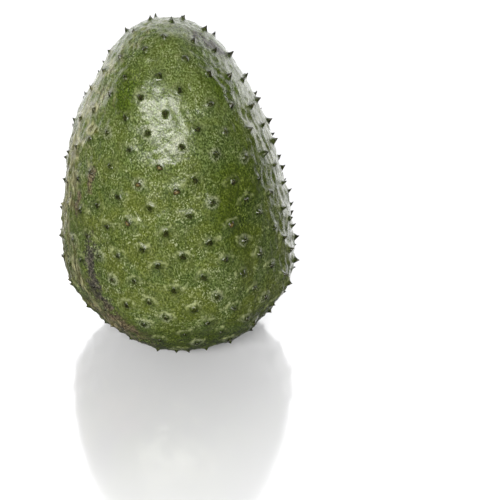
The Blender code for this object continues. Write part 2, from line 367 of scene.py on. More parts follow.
def grown(turn, radius, level):
    """Points of the uneven fruit for points of the turned egg. Each stays at its own level."""
    waves = np.zeros_like(level)
    for count, share, phase, twist in SWELLINGS:
        waves = waves + share * np.cos(count * turn + phase + twist * level / HEIGHT)
    for middle_turn, half_angle, middle_level, half_height, depth in UNEVEN_PLACES:
        from_side = turned_from(turn, middle_turn)
        from_level = (level - middle_level) / half_height
        waves = waves - depth / WIDEST_RADIUS * np.exp(-((from_side / half_angle) ** 2) - from_level**2)
    wide = radius * (1 + waves)
    lean = LEAN_AT_TIP * level / HEIGHT + TIP_NOD * (level / HEIGHT) ** TIP_NOD_POWER
    return np.stack((wide * np.cos(turn) + lean, wide * np.sin(turn), level), axis=-1) + BASE_MIDDLE


def row_lengths(vectors):
    return np.sqrt((vectors * vectors).sum(axis=-1, keepdims=True))


def added_up(steps):
    """How far along each point of a line is, from the steps between them."""
    return np.concatenate(([0.0], np.cumsum(steps)))


def rounded(radius, level):
    """Eases a profile's corners at the flat spot and in the dimple, as a grown rind has none."""
    half = int(PROFILE_ROUNDING / PROFILE_STEP)
    window = np.hanning(2 * half + 3)[1:-1]
    window /= window.sum()
    radius = np.concatenate((-radius[half:0:-1], radius, -radius[-2 : -half - 2 : -1]))
    level = np.concatenate((level[half:0:-1], level, level[-2 : -half - 2 : -1]))
    return np.convolve(radius, window, "valid"), np.convolve(level, window, "valid")


class Chart:
    """A flat map of the rind, true in every small shape, with the tip at its middle.

    A small circle on the fruit is a small circle on the map, so points laid out evenly on the one
    can be joined up on the other.
    """

    def __init__(self):
        angles = np.linspace(0.0, flat_angle(), PROFILE_POINTS)
        levels = [egg_level(angles)]
        radii = [egg_radius(levels[0])]
        corners = ((FLAT_RADIUS, 0.0), *DIMPLE)
        for (first_radius, first_level), (last_radius, last_level) in zip(corners, corners[1:]):
            radii.append(np.linspace(first_radius, last_radius, DIMPLE_POINTS)[1:])
            levels.append(np.linspace(first_level, last_level, DIMPLE_POINTS)[1:])
        radius = np.concatenate(radii)
        level = np.concatenate(levels)
        run = added_up(np.hypot(np.diff(radius), np.diff(level)))
        self.run_of_angle = (angles, run[: len(angles)])
        self.run = np.arange(0.0, run[-1], PROFILE_STEP)
        radius, level = rounded(np.interp(self.run, run, radius), np.interp(self.run, run, level))
        self.radius = np.maximum(radius, AXIS_RADIUS)
        self.level = np.maximum(level, 0.0)
        inverse = 1.0 / self.radius
        self.log_radius = added_up(0.5 * (inverse[1:] + inverse[:-1]) * PROFILE_STEP)
        self.log_radius -= np.interp(run[len(angles) // 2], self.run, self.log_radius)
        self.area = added_up(math.pi * (self.radius[1:] + self.radius[:-1]) * PROFILE_STEP)

    def at_run(self, turn, run):
        """Spots on the map for turns round the axis and distances along the rind from the tip."""
        return np.exp(np.interp(run, self.run, self.log_radius) + 1j * np.asarray(turn))

    def around(self, middle, distance, bearing):
        """Spots on the map at a small distance from a middle. Bearing 0 looks to the tip."""
        run = np.interp(np.log(np.abs(middle)), self.log_radius, self.run)
        stretch = np.abs(middle) / np.interp(run, self.run, self.radius)
        to_tip = -middle / np.abs(middle)
        return middle + to_tip * distance * stretch * np.exp(-1j * bearing)

    def turn_and_run(self, spot):
        return np.angle(spot), np.interp(np.log(np.abs(spot)), self.log_radius, self.run)

    def point(self, turn, run):
        """Points on the plain egg."""
        radius = np.interp(run, self.run, self.radius)
        return grown(turn, radius, np.interp(run, self.run, self.level))

    def point_and_outward(self, spot):
        """Points on the plain egg and its outward directions there."""
        turn, run = self.turn_and_run(spot)
        down = self.point(turn, run + SLOPE_RUN) - self.point(turn, run - SLOPE_RUN)
        around = self.point(turn + SLOPE_TURN, run) - self.point(turn - SLOPE_TURN, run)
        outward = np.cross(down, around)
        return self.point(turn, run), outward / row_lengths(outward)


def spine_angles():
    """Angles down from the tip that share the rind's area out evenly among the spines."""
    angles = np.linspace(0.0, flat_angle(), SPINE_BANDS + 1)
    level = egg_level(angles)
    radius = egg_radius(level)
    slant = np.hypot(np.diff(radius), np.diff(level))
    middle = egg_radius(egg_level(0.5 * (angles[1:] + angles[:-1])))
    areas = added_up(2 * math.pi * middle * slant)
    shares = (np.arange(SPINE_COUNT) + 0.5) / SPINE_COUNT
    return np.interp(shares * areas[-1], areas, angles)


def egg_point(turn, angle):
    level = egg_level(angle)
    return Vector(grown(turn, egg_radius(level), level))


def breakable(turn, angle):
    """Whether a spine here is on the patch of the side where some are knocked off."""
    from_side = abs(math.remainder(turn - BROKEN_TURN, 2 * math.pi))
    return from_side < BROKEN_HALF_ANGLE and BROKEN_LEVELS[0] < egg_level(angle) < BROKEN_LEVELS[1]


def mound_share(level):
    """The mounds flatten out towards the tip."""
    return float(np.interp(level, MOUND_LEVELS, (1.0, MOUND_TIP_SHARE)))


def spine_frame(turn, angle):
    """A spine's root, and the directions to the tip, across and outward there."""
    step = SPINE_FRAME_STEP
    to_tip = (egg_point(turn, angle - step) - egg_point(turn, angle + step)).normalized()
    around = (egg_point(turn + step, angle) - egg_point(turn - step, angle)).normalized()
    outward = around.cross(to_tip).normalized()
    return egg_point(turn, angle), to_tip, to_tip.cross(outward), outward


def grow_spines():
    """Every spine: where it stands, which way it faces and hooks, and how big it is."""
    draw = random.Random(SPINE_SEED)
    looks = random.Random(SPINE_SEED + 1)
    spines = []
    for number, angle in enumerate(spine_angles()):
        radius = max(float(egg_radius(egg_level(angle))), 2 * SPINE_JITTER)
        turn = number * GOLDEN_ANGLE + draw.uniform(-1, 1) * SPINE_JITTER / radius
        angle += draw.uniform(-1, 1) * SPINE_JITTER / WIDEST_RADIUS
        angle = min(max(angle, SPINE_FREE_ANGLE), flat_angle() - SPINE_FREE_OF_FLAT)
        mature = min(float(egg_level(angle)) / SPINE_FULL_LEVEL, 1.0)
        size = draw.uniform(*SPINE_SIZES) * (SPINE_LOW_SHARE + (1 - SPINE_LOW_SHARE) * mature)
        from_worn = math.remainder(turn - WORN_TURN, 2 * math.pi) / WORN_HALF_ANGLE
        size = max(size * (1 - WORN_LOSS * math.exp(-(from_worn**2))), SPINE_SMALLEST)
        hook = draw.uniform(*SPINE_HOOKS)
        swing = draw.gauss(0.0, SPINE_HOOK_SWING)
        broken = draw.random() < BROKEN_CHANCE and breakable(turn, angle)
        root, to_tip, across, outward = spine_frame(turn, angle)
        lift = outward * SPINE_HEIGHT * size
        bend = (to_tip * math.cos(swing) + across * math.sin(swing)) * SPINE_HOOK * hook
        if (root + lift + bend).z < FLOOR_CLEARANCE:
            lift *= PRESSED_SHARE
            bend = to_tip * PRESSED_BEND * size
        spine = {
            "turn": turn,
            "angle": angle,
            "root": root,
            "to_tip": to_tip,
            "across": across,
            "lift": lift,
            "bend": bend,
            "size": size,
            "stands": (root + lift + bend).z >= FLOOR_CLEARANCE,
            "mound": looks.uniform(*MOUND_HEIGHTS) * mound_share(egg_level(angle)),
            "mound_width": looks.uniform(*MOUND_WIDTHS),
            "broken": broken,
            "darkness": looks.uniform(*HORN_SHARES),
            "lobes": (looks.uniform(0, math.pi), looks.uniform(0, 2 * math.pi)),
            "ringed": looks.random() < RINGED_SHARE,
        }
        spines.append(spine)
    return spines


def tree_of(points):
    """A tree that finds the nearest of these points."""
    tree = KDTree(len(points))
    for number, point in enumerate(points):
        tree.insert(point, number)
    tree.balance()
    return tree


def lay_out(chart, spines):
    """Spots on the map, how far up a spine each one is, and which spine's it is, or -1 for none."""
    spots = []
    climbs = []
    owners = []
    bearings = np.arange(SPINE_SIDES) * 2 * math.pi / SPINE_SIDES
    for number, spine in enumerate(spines):
        run = np.interp(spine["angle"], *chart.run_of_angle)
        middle = chart.at_run(spine["turn"], run)
        spine["spot"] = middle
        spots.append(chart.around(middle, SPINE_SKIRT, bearings))
        climbs.append(np.full(SPINE_SIDES, -1.0))
        for climb in SPINE_CLIMB:
            spots.append(chart.around(middle, SPINE_FOOT * (1 - RING_TAPER * climb), bearings))
            climbs.append(np.full(SPINE_SIDES, climb))
        spots.append(np.array([middle]))
        climbs.append(np.array([1.0]))
        owners.append(np.full(SPINE_SIDES * (len(SPINE_CLIMB) + 1) + 1, number))
    for extra in (spiral_fill(chart, spines), pole_ring(chart)):
        spots.append(extra)
        climbs.append(np.full(len(extra), -1.0))
        owners.append(np.full(len(extra), -1))
    return np.concatenate(spots), np.concatenate(climbs), np.concatenate(owners)


def spiral_fill(chart, spines):
    """Spots of an even spiral over the whole rind, free of the spines and of the dimple's middle."""
    end = chart.run[-1] - POLE_RADIUS
    shares = (np.arange(RIND_POINTS) + 0.5) / RIND_POINTS
    run = np.interp(shares * np.interp(end, chart.run, chart.area), chart.area, chart.run)
    fill = chart.at_run(np.arange(RIND_POINTS) * GOLDEN_ANGLE, run)
    tree = tree_of([spine["root"] for spine in spines])
    points = chart.point(*chart.turn_and_run(fill))
    apart = np.array([tree.find(point)[2] for point in points])
    return fill[(apart > SPINE_CLEAR) & (run <= end - POLE_CLEAR)]


def pole_ring(chart):
    """The last ring of spots, round the dimple's middle."""
    turns = np.arange(POLE_SIDES) * 2 * math.pi / POLE_SIDES
    return chart.at_run(turns, np.full(POLE_SIDES, chart.run[-1] - POLE_RADIUS))


def climbed(spots, climbs, owners, spines):
    """Draws the ring spots in towards each spine's axis, to the width it has at their height."""
    on_spine = climbs >= 0
    climb = climbs[on_spine]

    def of_owner(name):
        return np.array([spine[name] for spine in spines])[owners[on_spine]]

    tapered = CONE_SHARE * (1 - climb) ** CONE_POWER + DOME_SHARE * np.sqrt(1 - climb**2)
    snapped_face = (1 - SNAP_TAPER * SNAP_CLIMB) * (1 - climb) / (1 - SNAP_CLIMB)
    snapped = np.where(climb < SNAP_CLIMB, 1 - SNAP_TAPER * climb, snapped_face)
    width = np.where(of_owner("broken"), snapped, tapered)
    width = width * (1 - WIDTH_BY_SIZE + WIDTH_BY_SIZE * of_owner("size"))
    width = np.minimum(width, WIDTH_LIMIT * (1 - WIDTH_LIMIT_TAPER * climb))
    width = np.where(climb == 0.0, 1.0, width)
    middles = of_owner("spot")
    reach = spots[on_spine] - middles
    bearing = np.angle(reach) - np.angle(middles)
    oval_turn, lobe_turn = of_owner("lobes").T
    uneven = SPINE_OVAL * np.cos(2 * (bearing - oval_turn))
    uneven = uneven + SPINE_LOBE * np.cos(3 * bearing - lobe_turn)
    width = width * (1 + uneven * np.sin(math.pi * np.minimum(climb + LOBE_START, 1.0)))
    moved = spots.copy()
    moved[on_spine] = middles + reach * (width / (1 - RING_TAPER * climb))
    return moved


def waves_of(points, wavelength, depth, draw, rise=1.0):
    """Soft uneven relief: plain waves of about one length, running every way through the fruit.

    A small rise keeps them level, so that their crests stand upright.
    """
    total = np.zeros(len(points))
    for _ in range(WAVE_COUNT):
        way = draw.normal(size=3) * (1.0, 1.0, rise)
        way *= 2 * math.pi / (wavelength * draw.uniform(*WAVE_SPREAD) * np.linalg.norm(way))
        total += np.cos(points @ way + draw.uniform(0, 2 * math.pi))
    return depth * total / math.sqrt(WAVE_COUNT / 2)


def ridged_at(points):
    """How ridged the rind is: fully on the sides and the back, and little on the smooth front."""
    from_front = turned_from(np.arctan2(points[:, 1], points[:, 0]), SMOOTH_TURN)
    return 1 - SMOOTH_SHARE * np.exp(-((from_front / SMOOTH_HALF_ANGLE) ** 2))


def mound_reach(offset, up, spine):
    """How far out in a spine's mound a point lies, 1 at its edge, and how steep the edge is there."""
    aside = offset.dot(spine["across"]) / MOUND_ASIDE
    along = offset.dot(spine["to_tip"])
    along /= MOUND_ABOVE if along > 0 else MOUND_BELOW
    soft, steep = MOUND_EDGES
    edge = soft + (steep - soft) * (0.5 + 0.5 * up)
    return math.hypot(along, aside) / spine["mound_width"], edge


def arch_highlight_share(reach, up):
    """How near a point is to the arch along a mound's upper edge, where a highlight is painted."""
    return math.exp(-(((reach - ARCH_REACH) / ARCH_WIDTH) ** 2)) * max(up + ARCH_SPREAD, 0.0)


def relief(points, spines):
    """Height of the rind over the plain egg, the distance to the nearest spine, how near each point
    is to the arch of a mound's upper edge, where a highlight is painted, and whether its spine has a
    pale ring."""
    draw = np.random.RandomState(RELIEF_SEED)
    height = np.full(len(points), -SETTLE)
    for wavelength, depth in WAVES:
        height += waves_of(points, wavelength, depth, draw)
    for wavelength, depth in RIDGES:
        height += waves_of(points, wavelength, depth, draw, RIDGE_RISE) * ridged_at(points)
    ragged = waves_of(points, MOUND_RAGGED_LENGTH, MOUND_RAGGED_SHARE, draw)
    tree = tree_of([spine["root"] for spine in spines])
    nearest = np.zeros(len(points))
    arch_highlight = np.zeros(len(points))
    ringed = np.zeros(len(points))
    for index, point in enumerate(points):
        found = tree.find_n(point, MOUNDS_THAT_MEET)
        for _, number, distance in found:
            spine = spines[number]
            offset = Vector(point) - spine["root"]
            up = offset.dot(spine["to_tip"]) / max(distance, NEAREST_DISTANCE)
            reach, edge = mound_reach(offset, up, spine)
            reach *= 1 + ragged[index]
            height[index] += spine["mound"] * math.exp(-(reach**edge))
            arch_highlight[index] = max(arch_highlight[index], arch_highlight_share(reach, up))
        seam = (found[1][2] - found[0][2]) / SEAM_WIDTH
        height[index] -= SEAM_DEPTH * math.exp(-(seam**2))
        nearest[index] = found[0][2]
        ringed[index] = spines[found[0][1]]["ringed"]
    calm = np.clip(points[:, 2] / CALM_LEVEL, 0.0, 1.0)
    return height * calm * calm * (3 - 2 * calm), nearest, arch_highlight, ringed


def rise_and_hook(climb, broken):
    """The share of a spine's height, and of its hook, that the skin has gained at a climb."""
    if broken:
        rise = SNAP_HEIGHT * min(climb / SNAP_CLIMB, 1.0) ** SNAP_POWER
        rise -= HOLLOW_DEPTH * max(climb - HOLLOW_CLIMB, 0) / (1 - HOLLOW_CLIMB)
        return rise, SNAP_HOOK * rise
    rise = climb**HEIGHT_POWER
    return rise, rise**HOOK_POWER


def raise_spines(placed, climbs, owners, spines):
    """Moves the ring points out along their spines, over the rind."""
    for index in np.nonzero(climbs > 0)[0]:
        spine = spines[owners[index]]
        if spine["stands"]:
            rise, hook = rise_and_hook(climbs[index], spine["broken"])
            placed[index] += np.array(spine["lift"] * rise + spine["bend"] * hook)


def faces_between(spots):
    """Triangles that join up the spots on the map. The last ring of spots closes on one more point."""
    flat = [Vector((spot.real, spot.imag)) for spot in spots]
    found = delaunay_2d_cdt(flat, [], [], 0, SAME_SPOT, True)
    origins = [first[0] for first in found[3]]
    faces = [tuple(origins[corner] for corner in face) for face in found[2]]
    count = len(spots)
    rim = list(range(count - POLE_SIDES, count))
    for number in range(POLE_SIDES):
        faces.append((rim[(number + 1) % POLE_SIDES], rim[number], count))
    return faces


def patches_at(points, patches):
    """How deep in a patch each point lies: 1 in its middle, 0 well outside every one."""
    deepest = np.zeros(len(points))
    turn = np.arctan2(points[:, 1], points[:, 0])
    radius = np.hypot(points[:, 0], points[:, 1])
    for middle, level, half_width, half_height, slant in patches:
        aside = turned_from(turn, math.radians(middle)) * radius / MM
        rise = points[:, 2] / MM - level
        reach = ((aside - slant * rise) / half_width) ** 2 + (rise / half_height) ** 2
        deepest = np.maximum(deepest, np.exp(-PATCH_FADE * reach))
    return deepest


def rind_mesh():
    """The whole rind as one closed skin: plain egg, relief, mounds and spines."""
    chart = Chart()
    spines = grow_spines()
    spots, climbs, owners = lay_out(chart, spines)
    points, outward = chart.point_and_outward(climbed(spots, climbs, owners, spines))
    height, nearest, arch_highlight, ringed = relief(points, spines)
    placed = points + outward * height[:, None]
    raise_spines(placed, climbs, owners, spines)
    placed[:, 2] = np.maximum(placed[:, 2], FLOOR_GAP)
    pole = chart.point(np.zeros(1), chart.run[-1:])
    mesh = bpy.data.meshes.new("rind")
    mesh.from_pydata(np.concatenate((placed, pole)).tolist(), [], faces_between(spots))
    mesh.validate()
    mesh.shade_smooth()
    marks = {
        "climb": np.maximum(climbs, 0.0),
        # Painted shade round each spine's foot.
        "painted_foot_shade": np.exp(-((nearest / FOOT_SHADE_RADIUS) ** 2)),
        # Where a highlight is painted along each mound's upper edge.
        "painted_arch_highlight": np.clip(arch_highlight, 0, 1),
        "broken": np.array([owner >= 0 and spines[owner]["broken"] for owner in owners], float),
        "dark": np.array([spines[owner]["darkness"] if owner >= 0 else 0.0 for owner in owners]),
        "ring": np.exp(-(((nearest - RING_RADIUS) / RING_WIDTH) ** 2)) * ringed,
        "scuff": patches_at(points, SCUFFS),
        # Dry sides, with a patch that paints a reflection of the table.
        "dry_and_reflection": patches_at(points, DRY_SIDES_AND_REFLECTION),
        # Deeper greens, with painted shade among them.
        "deep": patches_at(points, DEEP_GREENS_AND_SHADE),
        "ridged": ridged_at(points),
    }
    for name in RIND_MARKS:
        layer = mesh.attributes.new(name, "FLOAT", "POINT")
        layer.data.foreach_set("value", np.append(marks[name], 0.0).astype(np.float32))
    return mesh


def linear(code):
    """The linear colour of an sRGB hex value."""
    parts = [int(code[i : i + 2], 16) / 255 for i in (1, 3, 5)]
    parts = [part / 12.92 if part <= 0.04045 else ((part + 0.055) / 1.055) ** 2.4 for part in parts]
    return (*parts, 1.0)


def add(tree, kind, settings, sockets, output=None):
    """Adds a node with its settings and gives its first open output, or the one named.

    The sockets come by name, or as a tuple in the node's own order, and each takes a value or a link.
    """
    made = tree.nodes.new("ShaderNode" + kind)
    for name, value in settings.items():
        setattr(made, name, value)
    if isinstance(sockets, tuple):
        shown = [number for number, socket in enumerate(made.inputs) if socket.enabled]
        sockets = dict(zip(shown, sockets))
    for name, value in sockets.items():
        if isinstance(value, bpy.types.NodeSocket):
            tree.links.new(value, made.inputs[name])
        else:
            made.inputs[name].default_value = value
    if output:
        return made.outputs[output]
    return next((socket for socket in made.outputs if socket.enabled), None)


def empty_material(name):
    material = bpy.data.materials.new(name)
    material.use_nodes = True
    tree = material.node_tree
    tree.nodes.clear()
    return material, tree


def rind_guides(tree):
    """What the rind's colours go by: the level over the table, the marks on its points, and patterns."""
    place = add(tree, "TexCoord", {}, (), "Object")
    guides = {"level": add(tree, "SeparateXYZ", {}, (place,), "Z")}
    for name in RIND_MARKS:
        guides[name] = add(tree, "Attribute", {"attribute_name": name}, (), "Fac")
    for name, size, upright, shift, detail, roughness, distortion in RIND_PATTERNS:
        moved = {"Vector": place, "Location": (shift, 0.7 * shift, -shift), "Scale": (1.0, 1.0, upright)}
        sockets = {
            "Vector": add(tree, "Mapping", {}, moved),
            "Scale": 1 / (size * MM),
            "Detail": detail,
            "Roughness": roughness,
            "Distortion": distortion,
        }
        guides[name] = add(tree, "TexNoise", {}, sockets)
    return guides


def green_ground(tree, guides):
    """A fine grain of deep and light green, yellower in broad clouds and paler towards the tip."""
    yellower = add(tree, "MapRange", SMOOTH, (guides["cloud"], 0.38, 0.62))
    deep = add(tree, "Mix", COLOUR, (yellower, linear("#26340c"), linear("#394310")))
    light = add(tree, "Mix", COLOUR, (yellower, linear("#586733"), linear("#60692b")))
    higher = add(tree, "MapRange", SMOOTH, (guides["level"], *SHOULDER, 0.0, 0.70))
    light = add(tree, "Mix", COLOUR, (higher, light, linear("#6b7c48")))
    grainy = add(tree, "MapRange", SMOOTH, (guides["grain"], 0.37, 0.63))
    colour = add(tree, "Mix", COLOUR, (grainy, deep, light))
    woven = add(tree, "MapRange", SMOOTH, (guides["weave"], 0.38, 0.64, 0.0, 0.30))
    return add(tree, "Mix", COLOUR, (woven, colour, linear("#474f19")))


def pale_specks_and_glints(tree, guides, colour):
    """Pale specks on the crests of the grain, partly the rind's own pale lenticels and partly painted
    glints of gloss on its pebbles, denser in some areas and fainter towards the tip.
    """
    push = add(tree, "MapRange", SMOOTH, (guides["weave"], 0.35, 0.65, -0.05, 0.05))
    crests = add(tree, "Math", PLUS, (guides["grain"], push))
    crests = add(tree, "MapRange", SMOOTH, (crests, 0.54, 0.69))
    dense = add(tree, "MapRange", SMOOTH, (guides["speckled"], 0.40, 0.62))
    dense = add(tree, "MapRange", SMOOTH, (dense, 0.0, 1.0, 0.25, 1.0))
    # Part of these specks are painted glints of the gloss.
    specks_and_glints = add(tree, "Math", TIMES, (crests, dense))
    fainter = add(tree, "MapRange", SMOOTH, (guides["level"], *SHOULDER, 0.71, 0.55))
    specks_and_glints = add(tree, "Math", TIMES, (specks_and_glints, fainter))
    return add(tree, "Mix", COLOUR, (specks_and_glints, colour, linear("#9ca281")))


def greens_and_painted_shade(tree, guides, colour):
    """Tints that keep the grain: greener in some patches, some of which paint shade, and painted shade
    that dulls the green low down.
    """
    cloudy = add(tree, "MapRange", SMOOTH, (guides["cloud"], 0.3, 0.7, -0.2, 0.2))
    deep_green_and_shade = add(tree, "Math", PLUS, (guides["deep"], cloudy))
    deep_green_and_shade = add(tree, "MapRange", SMOOTH, (deep_green_and_shade, 0.20, 0.95, 0.0, 0.95))
    colour = add(tree, "Mix", TINT, (deep_green_and_shade, colour, linear("#bfcd76")))
    # Painted shade that darkens the rind towards the table.
    duller = add(tree, "MapRange", SMOOTH, (guides["level"], *UNDERSIDE_SHADE, 0.75, 0.0))
    return add(tree, "Mix", TINT, (duller, colour, linear("#bcbd98")))


def mound_colours(tree, guides, colour):
    """A painted highlight along each mound's upper edge, painted shade round each spine's foot,
    with a ragged pale ring round some feet."""
    # The painted highlight along the mounds' upper edges, fading towards the tip and near the floor.
    fading = add(tree, "MapRange", SMOOTH, (guides["level"], *ARCH_HIGHLIGHT_FADE, 0.75, 0.30))
    painted_highlight = add(tree, "Math", TIMES, (guides["painted_arch_highlight"], fading))
    starting = add(tree, "MapRange", SMOOTH, (guides["level"], *ARCH_HIGHLIGHT_START, 0.15, 1.0))
    painted_highlight = add(tree, "Math", TIMES, (painted_highlight, starting))
    ragged = add(tree, "MapRange", SMOOTH, (guides["weave"], 0.36, 0.54, 0.45, 1.0))
    painted_highlight = add(tree, "Math", TIMES, (painted_highlight, ragged))
    colour = add(tree, "Mix", COLOUR, (painted_highlight, colour, linear("#9ca373")))
    # Painted shade round each spine's foot.
    painted_foot_shade = add(tree, "Math", TIMES, (guides["painted_foot_shade"], 0.60))
    colour = add(tree, "Mix", COLOUR, (painted_foot_shade, colour, linear("#1f2b08")))
    grainy = add(tree, "MapRange", SMOOTH, (guides["grain"], 0.40, 0.56))
    ring = add(tree, "Math", TIMES, (guides["ring"], grainy))
    ring = add(tree, "Math", TIMES, (ring, 0.60))
    return add(tree, "Mix", COLOUR, (ring, colour, linear("#8c9076")))


def creases(tree, guides, colour):
    """Thin dark creases between the fibres, stronger in some areas."""
    gap = add(tree, "Math", PLUS, (guides["fibre"], -0.5))
    gap = add(tree, "Math", {"operation": "ABSOLUTE"}, (gap,))
    crease = add(tree, "MapRange", SMOOTH, (gap, 0.0, 0.035, 1.0, 0.0))
    creased = add(tree, "MapRange", SMOOTH, (guides["creased"], 0.42, 0.60, 0.15, 0.7))
    crease = add(tree, "Math", TIMES, (crease, creased))
    return add(tree, "Mix", COLOUR, (crease, colour, linear("#232d0b")))


def dry_streaks_and_reflection(tree, guides, colour):
    """The dry sides: cream and brown streaks that run up the fruit, browner low down; a pale patch of
    them low on the left paints a reflection of the table.
    """
    edge = add(tree, "MapRange", SMOOTH, (guides["dry_edge"], 0.3, 0.7, -0.50, 0.25))
    patchy = add(tree, "Math", PLUS, (guides["dry_and_reflection"], edge))
    low = add(tree, "MapRange", SMOOTH, (guides["level"], *BROWN_BELOW, 1.0, 0.0))
    straw = add(tree, "Mix", COLOUR, (low, linear("#a5a37d"), linear("#8f8468")))
    fibrous = add(tree, "MapRange", SMOOTH, (guides["fibre"], 0.42, 0.56))
    streaks = add(tree, "Mix", COLOUR, (fibrous, linear("#43361c"), straw))
    # The pale patch low on the left paints a reflection of the table.
    dry_and_reflection = add(tree, "MapRange", SMOOTH, (patchy, 0.25, 0.95))
    dry_and_reflection = add(tree, "Math", TIMES, (dry_and_reflection, 0.68))
    return add(tree, "Mix", COLOUR, (dry_and_reflection, colour, streaks))


def scuffed_share(tree, guides):
    """How much of the rind is scuffed to cork: ragged at each scuff's edge and broken by the grain."""
    edge = add(tree, "MapRange", SMOOTH, (guides["scuff_edge"], 0.3, 0.7, -0.38, 0.30))
    wear = add(tree, "Math", PLUS, (guides["scuff"], edge))
    grain = add(tree, "MapRange", SMOOTH, (guides["grain"], 0.35, 0.65, 0.14, -0.18))
    wear = add(tree, "Math", PLUS, (wear, grain))
    return add(tree, "MapRange", SMOOTH, (wear, 0.36, 0.80))


def cork_scuffs(tree, guides, colour):
    """Dry crumbly cork with darker cracks: grey-brown, and browner low down and in one band."""
    brown = add(tree, "MapRange", SMOOTH, (guides["level"], *BROWN_BELOW, 1.0, 0.0))
    band_start = add(tree, "MapRange", SMOOTH, (guides["level"], *BROWN_BAND_START))
    band_end = add(tree, "MapRange", SMOOTH, (guides["level"], *BROWN_BAND_END, 1.0, 0.0))
    band = add(tree, "Math", TIMES, (band_start, band_end))
    brown = add(tree, "Math", PLUS, (brown, band))
    cracks = add(tree, "Mix", COLOUR, (brown, linear("#191615"), linear("#2a2012")))
    crumbs = add(tree, "Mix", COLOUR, (brown, linear("#57504a"), linear("#7a6c52")))
    fibrous = add(tree, "MapRange", SMOOTH, (guides["fibre"], 0.3, 0.7, -0.07, 0.07))
    crumbly = add(tree, "Math", PLUS, (guides["grain"], fibrous))
    crumbly = add(tree, "MapRange", SMOOTH, (crumbly, 0.40, 0.66))
    cork = add(tree, "Mix", COLOUR, (crumbly, cracks, crumbs))
    scuffed = add(tree, "Math", TIMES, (guides["scuffed"], 0.90))
    return add(tree, "Mix", COLOUR, (scuffed, colour, cork))


def spine_horn(tree, guides, colour):
    """The spines: green at the foot, and dark olive-brown horn from a ragged edge on up."""
    ragged = add(tree, "MapRange", SMOOTH, (guides["grain"], 0.35, 0.65, 0.14, -0.14))
    edge = add(tree, "Math", PLUS, (guides["climb"], ragged))
    horned = add(tree, "MapRange", SMOOTH, (edge, 0.16, 0.42))
    horned = add(tree, "Math", TIMES, (horned, guides["dark"]))
    grainy = add(tree, "MapRange", SMOOTH, (guides["grain"], 0.42, 0.62))
    horn = add(tree, "Mix", COLOUR, (grainy, linear("#0d0f03"), linear("#302f0f")))
    return add(tree, "Mix", COLOUR, (horned, colour, horn))


def snapped_ends(tree, guides, colour):
    """A snapped spine shows a dark brown ring, and inside it a paler dry core."""
    for ring_edge, shade in (((0.30, 0.55), "#3a2e17"), ((0.62, 0.84), "#61562a")):
        bare = add(tree, "MapRange", SMOOTH, (guides["climb"], *ring_edge))
        bare = add(tree, "Math", TIMES, (guides["broken"], bare))
        colour = add(tree, "Mix", COLOUR, (bare, colour, linear(shade)))
    return colour


def rind_grain(tree, guides):
    """The relief of fibres, weave and grain, which breaks the gloss up into specks."""
    fibres = {"Height": guides["fibre"], "Distance": FIBRE_DEPTH, "Strength": guides["ridged"]}
    skin = add(tree, "Bump", {}, fibres)
    for pattern, depth in (("weave", WEAVE_DEPTH), ("grain", GRAIN_DEPTH)):
        bump = {"Height": guides[pattern], "Distance": depth, "Strength": 1.0, "Normal": skin}
        skin = add(tree, "Bump", {}, bump)
    return skin


def waxy_rind():
    """Soursop rind: a thin leathery skin with a dull natural wax, so it has a soft broad gloss that
    its pebbled grain breaks up, and turns pale where it is seen edge on."""
    material, tree = empty_material("waxy_soursop_rind")
    guides = rind_guides(tree)
    guides["scuffed"] = scuffed_share(tree, guides)
    colour = green_ground(tree, guides)
    layers = (
        pale_specks_and_glints,
        greens_and_painted_shade,
        mound_colours,
        creases,
        dry_streaks_and_reflection,
        cork_scuffs,
        spine_horn,
        snapped_ends,
    )
    for layer in layers:
        colour = layer(tree, guides, colour)
    wax = add(tree, "MapRange", SMOOTH, (guides["wax"], 0.30, 0.70, 0.22, 0.34))
    duller = add(tree, "Math", TIMES, (guides["scuffed"], 0.25))
    skin = rind_grain(tree, guides)
    sockets = {
        "Base Color": colour,
        "Roughness": add(tree, "Math", PLUS, (wax, duller)),
        "IOR": 1.42,
        "Normal": skin,
        "Coat Weight": 0.15,
        "Coat Roughness": 0.14,
        "Coat IOR": 1.42,
        "Coat Normal": skin,
    }
    add(tree, "OutputMaterial", {}, {"Surface": add(tree, "BsdfPrincipled", {}, sockets)})
    return material


def dry_stalk():
    """Soursop stalk: brown bark round a paler torn end, fibrous along its length and quite dull."""
    material, tree = empty_material("dry_stalk_bark")
    place = add(tree, "TexCoord", {}, (), "Object")
    drawn = add(tree, "Mapping", {}, {"Vector": place, "Scale": (1.0, 1.0, 0.25)})
    fibre = add(tree, "TexNoise", {}, {"Vector": drawn, "Scale": 1 / BARK_FIBRE, "Detail": 4.0})
    torn = add(tree, "Attribute", {"attribute_name": "torn"}, (), "Fac")
    bark = add(tree, "Mix", COLOUR, (fibre, linear("#2f2118"), linear("#75593c")))
    wood = add(tree, "Mix", COLOUR, (fibre, linear("#6b4c31"), linear("#a98a62")))
    bump = {"Height": fibre, "Distance": BARK_FIBRE_DEPTH, "Strength": 0.9}
    sockets = {
        "Base Color": add(tree, "Mix", COLOUR, (torn, bark, wood)),
        "Roughness": 0.82,
        "Normal": add(tree, "Bump", {}, bump),
    }
    add(tree, "OutputMaterial", {}, {"Surface": add(tree, "BsdfPrincipled", {}, sockets)})
    return material


def glossy_acrylic():
    """White acrylic sheet: an even white body under a polish that blurs what it mirrors a little."""
    material, tree = empty_material("glossy_white_acrylic")
    plain = add(tree, "BsdfDiffuse", {}, {"Color": linear("#ecedf3")})
    gloss = add(tree, "BsdfGlossy", {}, {"Color": linear("#ffffff"), "Roughness": TABLE_ROUGHNESS})
    add(tree, "OutputMaterial", {}, {"Surface": add(tree, "MixShader", {}, (TABLE_GLOSS, plain, gloss))})
    return material


